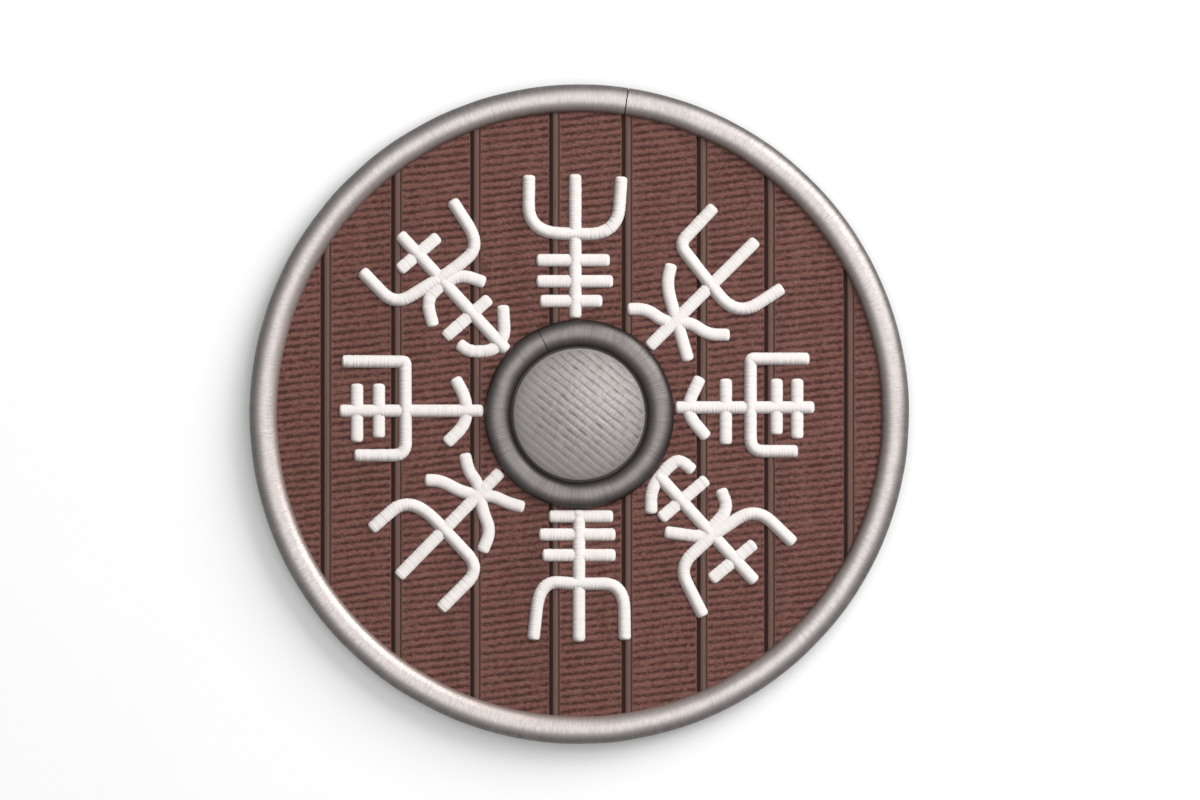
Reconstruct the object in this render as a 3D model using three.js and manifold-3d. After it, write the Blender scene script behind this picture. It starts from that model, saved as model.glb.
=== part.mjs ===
// A round wooden shield, lying face up on its back timbers.
// Nine boards inside a steel rim, a domed boss in an iron ring, and eight raised gesso staves
// round the boss. A grip bar and two battens are nailed across the back.
// Millimetres. +Z comes out of the face, +Y is the top of the shield, and z = 0 is the lowest face.

import * as THREE from 'three';
import { mergeVertices } from 'three/addons/utils/BufferGeometryUtils.js';
import Module from 'manifold-3d';

const wasm = await Module();
wasm.setup();

// ---------------------------------------------------------------- driving dimensions

const shieldRadius = 400;
const timberThickness = 18; // grip bar and battens, which the shield lies on
const boardThickness = 10;
const fitGap = 0.3; // between a piece and the hole or channel that it sits in

const backZ = timberThickness; // back face of the boards
const faceZ = timberThickness + boardThickness; // front face of the boards

const rimWidth = 34;
const rimHeight = 12; // of the half-round, above the boards
const rimSheet = 1.6;
const rimFlange = 20; // over the back of the boards
const rimSides = 60;

const domeRadius = 81; // where the dome meets its flange
const domeHeight = 54; // above the boards
const domeSheet = 2;
const flangeRadius = 112;
const ringInner = 82.5;
const ringOuter = 115;
const ringHeight = 13;
const bossSides = 36;
const handHoleRadius = 75;

const boardRadius = shieldRadius - rimSheet - fitGap;
// the joints between the boards, from left to right of the shield
const joints = [ - 312, - 226.5, - 130.75, - 35, 53, 144, 225.75, 322.25 ];
const quirkDepth = 3; // the groove at each joint
const quirkWidth = 2.3; // either side of the joint
const beadWidth = 7.6;
const beadFall = 0.7; // from the crown of the bead to its shoulders
const beadQuirk = 1.9; // the shallow groove on the far side of the bead

const strokeWidth = 15;
const barHeight = 3.2; // a later stroke is laid over an earlier one, and stands higher
const stemHeight = 4;
const forkHeight = 4.8;

const rivetCircle = ( ringInner + ringOuter ) / 2;
const rivetCount = 6;
const rivetRadius = 3.2;
const rivetHeadRadius = 7.5;
const rivetHeadHeight = 3.2;
const rivetHeadEdge = 1; // the upright edge of the head
const rivetReach = 6; // into the ring, above the boards

const battenOffset = 200; // of each batten, above and below the middle
const battenLength = 592;
const battenWidth = 36;
const gripLength = 736;
const gripWidth = 40;
const handleLength = 128;
const handleWidth = 30;
const handleRise = 7; // of the handle above the rest of the bar, inside the hand hole
const handleNeck = 26; // over which the bar narrows, before the handle
const timberEase = 4; // taken off each long edge
const endSlope = 12; // over which the ends of a timber slope off
const endHeight = 8; // of the square part of each end

const nailHeadRadius = 6;
const nailHeadThickness = 2.5;
const nailHeadDepth = 1; // below the back face of the timber
const nailShank = 3.4; // a square shank
const nailReach = 6; // into the boards
const nailRoom = 20; // the least width of board that takes a nail
const past = 1; // by which a cutter runs past the face it cuts

// ---------------------------------------------------------------- materials

function paint( color, roughness, metalness ) {

	return new THREE.MeshStandardMaterial( { color, roughness, metalness } );

}

const stainedWood = paint( 0x6b4b45, 0.7, 0 );
const backWood = paint( 0x7a5a48, 0.75, 0 );
const groundSteel = paint( 0xafa7a4, 0.4, 1 );
const darkIron = paint( 0x706966, 0.5, 1 );
const whiteGesso = paint( 0xf0eae7, 0.7, 0 );

// ---------------------------------------------------------------- solids

// A closed geometry as a manifold solid.
function solid( geometry ) {

	const bare = geometry.clone();
	bare.deleteAttribute( 'normal' );
	bare.deleteAttribute( 'uv' );
	const merged = mergeVertices( bare, 1e-4 );
	return new wasm.Manifold( new wasm.Mesh( {
		numProp: 3,
		vertProperties: new Float32Array( merged.attributes.position.array ),
		triVerts: new Uint32Array( merged.index.array ),
	} ) );

}

// A manifold solid as a geometry.
function geometryOf( body ) {

	const { vertProperties, triVerts } = body.getMesh();
	const geometry = new THREE.BufferGeometry();
	geometry.setAttribute( 'position', new THREE.BufferAttribute( vertProperties, 3 ) );
	geometry.setIndex( new THREE.BufferAttribute( triVerts, 1 ) );
	geometry.computeVertexNormals();
	return geometry;

}

const union = ( bodies ) => bodies.reduce( ( all, body ) => all.add( body ) );

const outline = ( places ) => new THREE.Shape( places.map( ( [ x, y ] ) => new THREE.Vector2( x, y ) ) );

// A closed profile of [radius, z] turned round an axis along Z.
function turned( profile, sides, x = 0, y = 0 ) {

	const places = profile.map( ( [ r, z ] ) => new THREE.Vector2( r, z ) );
	if ( profile[ 0 ][ 0 ] > 0 ) places.push( places[ 0 ].clone() );
	return solid( new THREE.LatheGeometry( places, sides ).rotateX( Math.PI / 2 ).translate( x, y, 0 ) );

}

// An outline seen from the front, raised from one height to another.
function raised( places, low, high ) {

	const geometry = new THREE.ExtrudeGeometry( outline( places ), { depth: high - low, bevelEnabled: false } );
	return solid( geometry.translate( 0, 0, low ) );

}

// An outline of [x, z] seen along Y, between two places on Y.
function alongY( places, low, high ) {

	const geometry = new THREE.ExtrudeGeometry( outline( places ), { depth: high - low, bevelEnabled: false } );
	return solid( geometry.rotateX( Math.PI / 2 ).translate( 0, high, 0 ) );

}

// An outline of [y, z] seen along X, between two places on X.
function alongX( places, low, high ) {

	const geometry = new THREE.ExtrudeGeometry( outline( places ), { depth: high - low, bevelEnabled: false } );
	return solid( geometry.rotateX( Math.PI / 2 ).rotateZ( Math.PI / 2 ).translate( low, 0, 0 ) );

}

// A round rod standing on Z.
function rod( radius, low, high, sides, x = 0, y = 0 ) {

	const geometry = new THREE.CylinderGeometry( radius, radius, high - low, sides );
	return solid( geometry.rotateX( Math.PI / 2 ).translate( x, y, ( low + high ) / 2 ) );

}

// Half of an ellipse from one radius to another, standing on height z, as [radius, z].
function halfRound( inner, outer, z, height, steps ) {

	const middle = ( inner + outer ) / 2;
	return Array.from( { length: steps + 1 }, ( _, i ) => {

		const turn = Math.PI * i / steps;
		return [ middle - ( outer - inner ) / 2 * Math.cos( turn ), z + height * Math.sin( turn ) ];

	} );

}

// ---------------------------------------------------------------- fastenings

const timbers = [
	{ name: 'batten_upper', y: battenOffset, length: battenLength, width: battenWidth },
	{ name: 'batten_lower', y: - battenOffset, length: battenLength, width: battenWidth },
	{ name: 'grip', y: 0, length: gripLength, width: gripWidth },
];

const edges = [ - boardRadius, ...joints, boardRadius ];

// A nail for each board that a timber crosses, clear of the hand hole.
function nailPlaces( timber ) {

	const end = timber.length / 2 - endSlope;
	const clear = timber.y === 0 ? flangeRadius : 0;
	const places = [];
	for ( let board = 0; board < edges.length - 1; board ++ ) {

		const left = Math.max( edges[ board ], - end );
		const right = Math.min( edges[ board + 1 ], end );
		if ( right - left < nailRoom ) continue;
		let x = ( left + right ) / 2;
		if ( clear && Math.abs( x ) < clear ) {

			if ( left < 0 && right > 0 ) continue; // the middle board, which the hole cuts through
			x = Math.sign( x ) * clear;

		}

		places.push( [ x, timber.y ] );

	}

	return places;

}

// A nail from the back, or with a gap the hole for it.
function nail( [ x, y ], gap ) {

	const headTop = nailHeadDepth + nailHeadThickness;
	const headLow = gap > 0 ? - past : nailHeadDepth;
	const half = nailShank / 2 + gap;
	const head = rod( nailHeadRadius + gap, headLow, headTop, 6, x, y );
	const square = [
		[ x - half, y - half ], [ x + half, y - half ],
		[ x + half, y + half ], [ x - half, y + half ],
	];
	return head.add( raised( square, headTop - past, backZ + nailReach + gap ) );

}

// A rivet from the back through a board and the flange into the ring, or with a gap the hole for it.
function rivet( index, gap ) {

	const turn = Math.PI * ( 1 / 2 + 2 * index / rivetCount );
	const x = rivetCircle * Math.cos( turn );
	const y = rivetCircle * Math.sin( turn );
	const shank = rod( rivetRadius + gap, backZ - past, faceZ + rivetReach + gap, 6, x, y );
	if ( gap > 0 ) return shank;
	const headLow = backZ - rivetHeadHeight;
	const head = turned( [
		[ 0, headLow ],
		[ rivetHeadRadius * 0.6, headLow + rivetHeadEdge / 2 ],
		[ rivetHeadRadius, backZ - rivetHeadEdge ],
		[ rivetHeadRadius, backZ ],
		[ 0, backZ ],
	], 8, x, y );
	return shank.add( head );

}

const nailsOf = timbers.map( nailPlaces );
const nailHoles = union( nailsOf.flat().map( ( place ) => nail( place, fitGap ) ) );
const rivetHoles = union( Array.from( { length: rivetCount }, ( _, i ) => rivet( i, fitGap ) ) );

// ---------------------------------------------------------------- boards

// The section of a board: a quirked bead along its left edge, and half a quirk along its right.
function boardSection( left, right, beaded, quirked ) {

	const places = [ [ left, backZ ], [ right, backZ ] ];
	if ( quirked ) places.push( [ right, faceZ - quirkDepth ], [ right - quirkWidth, faceZ ] );
	else places.push( [ right, faceZ ] );
	if ( ! beaded ) return [ ...places, [ left, faceZ ] ];
	const bead = left + quirkWidth;
	const shoulder = beadWidth * 0.15;
	return [
		...places,
		[ bead + beadWidth + beadQuirk, faceZ ],
		[ bead + beadWidth, faceZ - beadQuirk ],
		[ bead + beadWidth - shoulder, faceZ - beadFall ],
		[ bead + beadWidth / 2, faceZ ],
		[ bead + shoulder, faceZ - beadFall ],
		[ bead, faceZ - beadQuirk ],
		[ left, faceZ - quirkDepth ],
	];

}

function board( index, low, high ) {

	const beaded = index > 0;
	const quirked = index < joints.length;
	const left = edges[ index ] + ( beaded ? fitGap / 2 : - past );
	const right = edges[ index + 1 ] - ( quirked ? fitGap / 2 : - past );
	const plank = alongY( boardSection( left, right, beaded, quirked ), low, high );
	const disc = rod( boardRadius, backZ - past, faceZ + past, rimSides );
	const handHole = rod( handHoleRadius, backZ - past, faceZ + past, bossSides );
	return plank.intersect( disc ).subtract( handHole ).subtract( nailHoles ).subtract( rivetHoles );

}

function boards() {

	const found = [];
	for ( let index = 0; index < edges.length - 1; index ++ ) {

		const name = `board_${ index + 1 }`;
		const crossesHole = edges[ index ] < 0 && edges[ index + 1 ] > 0;
		if ( crossesHole ) {

			found.push( [ `${ name }_upper`, board( index, 0, shieldRadius ) ] );
			found.push( [ `${ name }_lower`, board( index, - shieldRadius, 0 ) ] );

		} else {

			found.push( [ name, board( index, - shieldRadius, shieldRadius ) ] );

		}

	}

	return found;

}

// ---------------------------------------------------------------- rim

// A steel channel round the edge of the boards, with a hollow half-round face.
function rim() {

	const inner = shieldRadius - rimWidth;
	const flangeInner = shieldRadius - rimFlange;
	const flangeZ = backZ - rimSheet;
	return turned( [
		[ shieldRadius, flangeZ ],
		...halfRound( inner, shieldRadius, faceZ, rimHeight, 6 ).reverse(),
		...halfRound( inner + rimSheet, shieldRadius - rimSheet, faceZ, rimHeight - rimSheet, 3 ),
		[ shieldRadius - rimSheet, backZ ],
		[ flangeInner, backZ ],
		[ flangeInner, flangeZ ],
	], rimSides );

}

// ---------------------------------------------------------------- boss

// The places on one face of the dome, from its top down to height z, as [radius, z].
function domeArc( height, radius, z, steps ) {

	const ball = ( radius * radius + height * height ) / ( 2 * height );
	const centre = faceZ + height - ball;
	const end = Math.acos( ( z - centre ) / ball );
	return Array.from( { length: steps + 1 }, ( _, i ) => {

		const turn = end * i / steps;
		return [ i === 0 ? 0 : ball * Math.sin( turn ), centre + ball * Math.cos( turn ) ];

	} );

}

function bossDome() {

	const flangeTop = faceZ + domeSheet;
	const outer = domeArc( domeHeight, domeRadius, flangeTop, 7 );
	const inner = domeArc( domeHeight - domeSheet, domeRadius - domeSheet, faceZ, 5 );
	return turned( [
		...inner,
		[ flangeRadius, faceZ ],
		[ flangeRadius, flangeTop ],
		...outer.reverse(),
	], bossSides ).subtract( rivetHoles );

}

function bossRing() {

	const flangeTop = faceZ + domeSheet;
	const arc = halfRound( ringInner, ringOuter, flangeTop, ringHeight - domeSheet, 6 );
	const lip = flangeRadius + fitGap;
	return turned( [
		[ lip, flangeTop ],
		[ lip, faceZ ],
		[ ringOuter, faceZ ],
		...arc.reverse(),
	], bossSides ).subtract( rivetHoles );

}

// ---------------------------------------------------------------- staves

// The middle line of a stroke: corners of [across, outward, rounding], joined by straight runs.
// Its steps fall on the places where it bends, so that a straight run is one step.
class Stroke extends THREE.Curve {

	constructor( corners ) {

		super();
		const places = corners.map( ( [ x, y ] ) => new THREE.Vector3( x, y, faceZ ) );
		this.places = corners.flatMap( ( [ , , rounding = 0 ], i ) => {

			if ( ! rounding ) return [ places[ i ] ];
			// a bend starts where its rounding says, or short of the middle of the run
			const towards = ( other ) => {

				const share = Math.min( rounding / places[ i ].distanceTo( other ), 0.48 );
				return places[ i ].clone().lerp( other, share );

			};

			const bend = new THREE.QuadraticBezierCurve3(
				towards( places[ i - 1 ] ), places[ i ], towards( places[ i + 1 ] ) );
			return bend.getPoints( Math.ceil( rounding / 12 ) );

		} );
		this.steps = this.places.length - 1;

	}

	getPoint( t ) {

		const at = Math.min( Math.round( t * this.steps ), this.steps );
		return this.places[ at ].clone();

	}

	getTangent( t ) {

		const at = Math.min( Math.round( t * this.steps ), this.steps );
		const here = this.places[ at ];
		const before = this.places[ Math.max( at - 1, 0 ) ];
		const after = this.places[ Math.min( at + 1, this.steps ) ];
		const arriving = here.clone().sub( before ).normalize();
		const leaving = after.clone().sub( here ).normalize();
		return arriving.add( leaving ).normalize();

	}

	getPointAt( u ) {

		return this.getPoint( u );

	}

	getTangentAt( u ) {

		return this.getTangent( u );

	}

}

// A line of gesso with sloped sides, laid on the boards.
function stroke( height, corners ) {

	const path = new Stroke( corners );
	const foot = strokeWidth / 2;
	const crown = strokeWidth / 4;
	const section = [ [ 0, foot ], [ - height, crown ], [ - height, - crown ], [ 0, - foot ] ];
	return solid( new THREE.ExtrudeGeometry( outline( section ), { steps: path.steps, extrudePath: path } ) );

}

// Each stave points outwards along +Y, with +X on its right, and is then turned to its place.
const stemFoot = ringOuter + 1; // clear of the ring
const staves = [
	{
		name: 'stave_top',
		stem: [ [ - 5, stemFoot ], [ - 5, 291 ] ],
		fork: [ [ - 61, 290 ], [ - 62, 220, 40 ], [ 46, 217, 38 ], [ 51, 288 ] ],
		bars: [
			[ [ - 52, 186.5 ], [ 37, 186.5 ] ],
			[ [ - 52, 161 ], [ 41, 161 ] ],
			[ [ - 48, 137 ], [ 28, 137 ] ],
		],
	},
	{
		name: 'stave_top_right',
		stem: [ [ 2, stemFoot ], [ 3, 301 ] ],
		fork: [ [ - 62, 294 ], [ - 60, 231, 12 ], [ 52, 217, 36 ], [ 66, 283 ] ],
		bars: [
			[ [ - 50, 208 ], [ - 36, 185, 20 ], [ 48, 139 ] ],
			[ [ - 49, 131 ], [ - 32, 148, 16 ], [ - 4, 152, 14 ], [ 16, 174, 14 ], [ 42, 178, 16 ], [ 61, 197 ] ],
		],
	},
	{
		name: 'stave_right',
		stem: [ [ - 8, stemFoot ], [ - 8, 285 ] ],
		fork: [ [ - 67, 279 ], [ - 67, 207.5, 4 ], [ 45, 207.5, 16 ], [ 45, 265 ] ],
		bars: [
			[ [ - 45, 147 ], [ - 14, 132, 20 ], [ 3, 133, 14 ], [ 29, 155 ] ],
			[ [ - 43, 177.5 ], [ 37, 177.5 ] ],
			[ [ - 43, 239 ], [ 25, 239 ] ],
			[ [ - 43, 264 ], [ 30, 264 ] ],
		],
	},
	{
		name: 'stave_bottom_right',
		stem: [ [ - 15, stemFoot + 2 ], [ - 7, 295 ] ],
		fork: [ [ - 73, 295 ], [ - 72, 230, 28 ], [ - 8, 218, 12 ], [ 46, 216, 22 ], [ 67, 280 ] ],
		bars: [
			[ [ - 49, 147 ], [ - 47, 124, 14 ], [ - 31, 121, 10 ], [ 2, 125, 14 ], [ 24, 147 ] ],
			[ [ - 54, 165 ], [ 21, 159 ] ],
			[ [ - 57, 185 ], [ - 46, 210, 18 ], [ 0, 211, 12 ], [ 28, 174 ] ],
			[ [ - 40, 261 ], [ 30, 254.5 ] ],
		],
	},
	{
		name: 'stave_bottom',
		stem: [ [ 0.5, stemFoot ], [ 0.5, 276 ] ],
		fork: [ [ 56, 274 ], [ 48, 202, 34 ], [ 0, 206, 14 ], [ - 54, 205, 34 ], [ - 55, 274 ] ],
		bars: [
			[ [ 37, 124 ], [ - 41, 124 ] ],
			[ [ 49, 146 ], [ - 44, 146 ] ],
			[ [ 45, 171 ], [ - 44, 171 ] ],
		],
	},
	{
		name: 'stave_bottom_left',
		stem: [ [ 18, stemFoot ], [ 16, 295 ] ],
		fork: [ [ 80, 278 ], [ 76, 213, 46 ], [ - 48, 217, 24 ], [ - 48, 287 ] ],
		bars: [
			[ [ 65, 132 ], [ 46, 144, 14 ], [ 28, 146, 12 ], [ 0, 166, 12 ], [ - 24, 176, 20 ], [ - 35, 202 ] ],
			[ [ 76, 189 ], [ 62, 176, 12 ], [ 30, 166, 14 ], [ 2, 143, 12 ], [ - 14, 138, 12 ], [ - 33, 127 ] ],
		],
	},
	{
		name: 'stave_left',
		stem: [ [ 4, stemFoot ], [ 4, 291 ] ],
		fork: [ [ 64, 288 ], [ 63.5, 211, 4 ], [ - 50, 210.5, 16 ], [ - 50, 273 ] ],
		bars: [
			[ [ 44, 151 ], [ 18, 137, 18 ], [ - 12, 137, 20 ], [ - 36, 162 ] ],
			[ [ 37, 243 ], [ - 29, 243 ] ],
			[ [ 37, 269.5 ], [ - 34, 269.5 ] ],
		],
	},
	{
		name: 'stave_top_left',
		stem: [ [ - 8, stemFoot ], [ 0, 309 ] ],
		fork: [ [ 74, 293 ], [ 60, 228, 34 ], [ 14, 232, 20 ], [ - 65, 251, 22 ], [ - 64, 310 ] ],
		bars: [
			[ [ 28, 159 ], [ 3, 131, 10 ], [ - 19, 128, 10 ], [ - 41, 147, 18 ], [ - 43, 165 ] ],
			[ [ 23, 176 ], [ - 50, 181 ] ],
			[ [ 32, 193 ], [ 18, 222, 22 ], [ - 12, 230, 12 ], [ - 34, 228, 16 ], [ - 50, 200 ] ],
			[ [ 32, 273 ], [ - 32, 278 ] ],
		],
	},
];

function stave( { stem, fork, bars } ) {

	return union( [
		stroke( stemHeight, stem ),
		stroke( forkHeight, fork ),
		...bars.map( ( bar ) => stroke( barHeight, bar ) ),
	] );

}

// ---------------------------------------------------------------- back timbers

// A bar of wood with its back edges eased and its ends sloped off.
function batten( { y, length, width } ) {

	const half = width / 2;
	const end = length / 2;
	const endZ = backZ - endHeight;
	const section = alongX( [
		[ y - half + timberEase, 0 ], [ y + half - timberEase, 0 ], [ y + half, timberEase ],
		[ y + half, backZ ], [ y - half, backZ ], [ y - half, timberEase ],
	], - end, end );
	const side = alongY( [
		[ endSlope - end, 0 ], [ end - endSlope, 0 ], [ end, endZ ],
		[ end, backZ ], [ - end, backZ ], [ - end, endZ ],
	], y - width, y + width );
	return section.intersect( side ).subtract( nailHoles );

}

// The grip bar, which narrows and rises where it passes the hand hole.
function grip( { length, width } ) {

	const half = width / 2;
	const end = length / 2;
	const endZ = backZ - endHeight;
	const handle = handleLength / 2;
	const hand = handleWidth / 2;
	const top = backZ + handleRise;
	const section = alongX( [
		[ timberEase - half, 0 ], [ half - timberEase, 0 ], [ half, timberEase ],
		[ half, backZ ], [ hand, backZ ], [ hand - timberEase, top ],
		[ timberEase - hand, top ], [ - hand, backZ ], [ - half, backZ ], [ - half, timberEase ],
	], - end, end );
	const side = alongY( [
		[ endSlope - end, 0 ], [ end - endSlope, 0 ], [ end, endZ ],
		[ end, backZ ], [ handle, backZ ], [ handle - endSlope, top ],
		[ endSlope - handle, top ], [ - handle, backZ ], [ - end, backZ ], [ - end, endZ ],
	], - width, width );
	const neck = handle + handleNeck;
	const waist = raised( [
		[ - end, - half ], [ - neck, - half ], [ - handle, - hand ],
		[ handle, - hand ], [ neck, - half ], [ end, - half ],
		[ end, half ], [ neck, half ], [ handle, hand ],
		[ - handle, hand ], [ - neck, half ], [ - end, half ],
	], - past, top + past );
	return section.intersect( side ).intersect( waist ).subtract( nailHoles );

}

// ---------------------------------------------------------------- the shield

const shield = new THREE.Group();

function place( group, name, body, material ) {

	const mesh = new THREE.Mesh( geometryOf( body ), material );
	mesh.name = name;
	group.add( mesh );

}

for ( const [ name, body ] of boards() ) place( shield, name, body, stainedWood );
place( shield, 'rim', rim(), groundSteel );
place( shield, 'boss_dome', bossDome(), groundSteel );
place( shield, 'boss_ring', bossRing(), darkIron );

for ( let i = 0; i < rivetCount; i ++ ) place( shield, `rivet_${ i + 1 }`, rivet( i, 0 ), darkIron );

staves.forEach( ( pattern, i ) => {

	const compass = new THREE.Group();
	compass.rotation.z = - 2 * Math.PI * i / staves.length;
	place( compass, pattern.name, stave( pattern ), whiteGesso );
	shield.add( compass );

} );

timbers.forEach( ( timber, i ) => {

	place( shield, timber.name, timber.name === 'grip' ? grip( timber ) : batten( timber ), backWood );
	nailsOf[ i ].forEach( ( spot, n ) => {

		place( shield, `nail_${ timber.name }_${ n + 1 }`, nail( spot, 0 ), darkIron );

	} );

} );

export default shield;
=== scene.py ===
# A round wooden shield, lying face up on its back timbers, put together piece by piece.
# Metres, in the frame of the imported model: +Z comes out of the face and +Y is the top.

import math

import bpy
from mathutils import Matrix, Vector, noise


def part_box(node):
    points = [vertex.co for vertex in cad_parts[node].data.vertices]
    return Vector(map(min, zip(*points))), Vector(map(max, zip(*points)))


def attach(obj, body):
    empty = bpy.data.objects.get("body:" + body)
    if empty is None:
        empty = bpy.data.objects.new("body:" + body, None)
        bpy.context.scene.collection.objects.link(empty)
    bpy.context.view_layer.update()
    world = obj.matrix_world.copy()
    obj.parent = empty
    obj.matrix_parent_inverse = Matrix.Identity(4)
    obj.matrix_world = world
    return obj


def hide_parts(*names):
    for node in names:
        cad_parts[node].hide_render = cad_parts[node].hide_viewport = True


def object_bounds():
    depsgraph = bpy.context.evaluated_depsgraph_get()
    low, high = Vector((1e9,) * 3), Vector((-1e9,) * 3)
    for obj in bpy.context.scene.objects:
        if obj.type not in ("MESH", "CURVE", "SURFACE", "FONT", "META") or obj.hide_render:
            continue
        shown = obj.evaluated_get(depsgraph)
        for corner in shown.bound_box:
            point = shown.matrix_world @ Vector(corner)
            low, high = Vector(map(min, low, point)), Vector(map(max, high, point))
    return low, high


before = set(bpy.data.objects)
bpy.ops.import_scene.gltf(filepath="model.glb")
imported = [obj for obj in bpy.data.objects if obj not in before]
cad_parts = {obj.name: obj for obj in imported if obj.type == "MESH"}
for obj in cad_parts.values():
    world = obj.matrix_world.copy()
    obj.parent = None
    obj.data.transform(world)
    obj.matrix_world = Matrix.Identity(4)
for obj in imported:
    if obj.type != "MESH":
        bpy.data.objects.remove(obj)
cad_low, cad_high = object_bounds()

# ---------------------------------------------------------------- boards
# Nine sawn softwood boards stand edge to edge inside the rim, the middle one in two lengths.
# All but the first have a bead planed along the left edge, and all keep their saw ridges.
# They are stained red-brown, cut to a disc, and pierced in the middle for the hand.

board_names = ["board_1", "board_2", "board_3", "board_4", "board_5_upper", "board_5_lower"]
board_names += ["board_6", "board_7", "board_8", "board_9"]
board_radius = -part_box("board_1")[0].x
back_z, face_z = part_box("board_1")[0].z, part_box("board_1")[1].z
hand_hole_radius = 0.075
joint_depth = 0.003  # of the groove at each joint, half of it cut in each board
joint_width = 0.0026
bead_width = 0.0070
bead_depth = 0.0019
bead_end = joint_width + bead_width + bead_depth
ridge_rise = math.tan(math.radians(6.7))  # the saw came across the boards at a slant
ridge_pitch = 0.0091
ridge_depth = 0.0009
rows_in_ridge = 8
edge_ease = 0.0008  # over which the ridges start, beside a bead or a joint
joint_closing = 0.00013  # by which each board is drawn up to its neighbour
face_column = 0.0045  # between the lines that run along the flat of a board
bead_steps = 10
row_margin = 0.01  # by which the rows run past a board's ends, before it is cut to length
hand_hole_sides = 96
disc_sides = 288
cutter_reach = 0.002  # by which a cutter runs past what it cuts


def only(piece):
    """Select one piece and nothing else."""
    bpy.ops.object.select_all(action="DESELECT")
    piece.select_set(True)
    bpy.context.view_layer.objects.active = piece


def draw_line(places):
    """Draw a chain of edges through the places, and stay in edit mode with its last point selected."""
    bpy.ops.mesh.primitive_plane_add(size=0.001, location=places[0])
    bpy.ops.object.mode_set(mode="EDIT")
    bpy.ops.mesh.merge(type="CENTER")
    for here, there in zip(places, places[1:]):
        bpy.ops.mesh.extrude_vertices_move(
            TRANSFORM_OT_translate={"value": Vector(there) - Vector(here)})


def turn_outwards():
    """Turn every face of the edited mesh outwards, and leave edit mode."""
    bpy.ops.mesh.select_all(action="SELECT")
    bpy.ops.mesh.normals_make_consistent(inside=False)
    bpy.ops.object.mode_set(mode="OBJECT")


def settle(piece):
    """Leave a piece's object at the origin, unturned and unscaled, with its place in its mesh."""
    only(piece)
    bpy.ops.object.transform_apply(location=True, rotation=True, scale=True)


def apply_all(piece):
    """Apply every modifier of a piece, from the top."""
    only(piece)
    for name in [modifier.name for modifier in piece.modifiers]:
        bpy.ops.object.modifier_apply(modifier=name)


def draw_out(piece, axis, length, steps):
    """Sweep the edges of a piece straight along an axis, in even steps."""
    sweep = piece.modifiers.new("sweep", "SCREW")
    sweep.axis = axis
    sweep.angle = 0
    sweep.screw_offset = length
    sweep.steps = sweep.render_steps = steps
    apply_all(piece)


def dent(piece, depth, share, direction="NORMAL"):
    """Push in a piece by share(place) of a depth, along its own normals or an axis."""
    group = piece.vertex_groups.new(name="dents")
    for vertex in piece.data.vertices:
        group.add([vertex.index], min(max(share(vertex.co), 0), 1), "REPLACE")
    push = piece.modifiers.new("dents", "DISPLACE")
    push.vertex_group = "dents"
    push.direction = direction
    push.mid_level = 0
    push.strength = -depth
    apply_all(piece)
    piece.vertex_groups.clear()


def note(piece, name, values):
    """Keep one value for each point of a piece, for its material to read."""
    piece.data.attributes.new(name, "FLOAT", "POINT").data.foreach_set("value", values)


def cut(piece, cutter, operation):
    """Cut a piece with another closed mesh."""
    boolean = piece.modifiers.new("cut", "BOOLEAN")
    boolean.operation = operation
    boolean.object = cutter
    boolean.solver = "MANIFOLD"
    apply_all(piece)


def remove(piece):
    """Throw away a cutter once it has cut."""
    bpy.data.objects.remove(piece, do_unlink=True)


def hand_over(piece, name, material, nodes, angle):
    """Name and finish a piece, and let it stand for its solids."""
    piece.name = name
    piece.data.name = name
    piece.data.materials.clear()
    piece.data.materials.append(material)
    settle(piece)
    bpy.ops.object.shade_smooth_by_angle(angle=math.radians(angle))
    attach(piece, "root")
    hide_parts(*nodes)


def smooth_step(value, low, high):
    """0 below low, 1 above high, and an even curve between."""
    share = min(max((value - low) / (high - low), 0), 1)
    return share * share * (3 - 2 * share)


def new_group(name, inputs, outputs):
    """A shader node group with float, vector and colour sockets."""
    group = bpy.data.node_groups.new(name, "ShaderNodeTree")
    for title, kind, value in inputs:
        socket = group.interface.new_socket(title, in_out="INPUT", socket_type="NodeSocket" + kind)
        if value is not None:
            socket.default_value = value
    for title, kind in outputs:
        group.interface.new_socket(title, in_out="OUTPUT", socket_type="NodeSocket" + kind)
    return group, group.nodes.new("NodeGroupInput").outputs, group.nodes.new("NodeGroupOutput").inputs


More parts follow.
